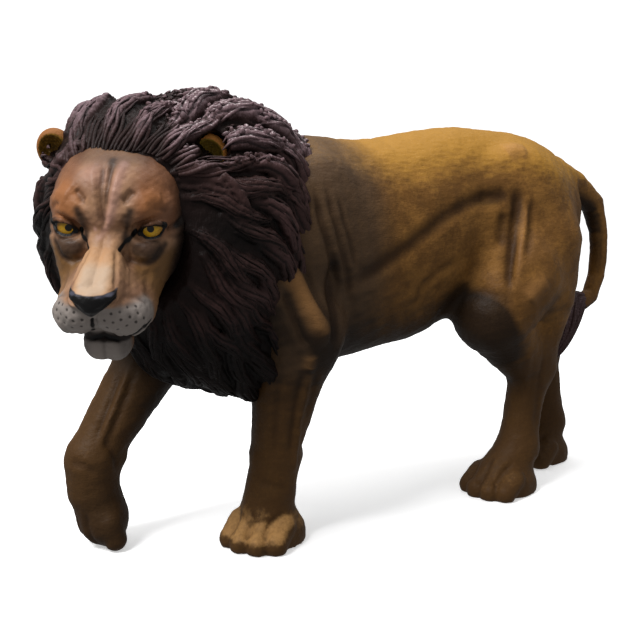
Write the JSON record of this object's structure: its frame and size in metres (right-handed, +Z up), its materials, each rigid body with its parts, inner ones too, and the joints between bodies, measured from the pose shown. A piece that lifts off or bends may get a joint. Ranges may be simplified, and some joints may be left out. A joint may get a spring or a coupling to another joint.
{
  "type": "lion figurine",
  "caption": "Standing lion figurine, walking with its head turned, with a combed ruff of mane and a hanging tail, cast in porcelain pieces luted together as a shelf ornament.",
  "frame": {"origin": "the middle of the figurine's outline, on the surface it stands on", "axes": "+Z up, the lion walks towards -X, its left side faces -Y"},
  "size_m": [0.2928, 0.106, 0.183],
  "materials": {
    "painted_body": "matte airbrushed ochre, darker below, with a faint sheen",
    "painted_face": "matte tan with grey muzzle",
    "painted_mane": "matte dark brown with grey rubbed highlights",
    "eye_enamel": "gloss yellow"
  },
  "bodies": {
    "root": {"trunk_casting": "painted_body", "head_casting": "painted_face", "ear_left": "painted_face", "ear_right": "painted_face", "eye_left": "eye_enamel", "eye_right": "eye_enamel", "mane_crown": "painted_mane", "mane_left": "painted_mane", "mane_right": "painted_mane", "mane_chest": "painted_mane", "foreleg_left": "painted_body", "foreleg_right": "painted_body", "hindleg_left": "painted_body", "hindleg_right": "painted_body", "tail_casting": "painted_body", "tail_tuft": "painted_mane"}
  },
  "joints": []
}
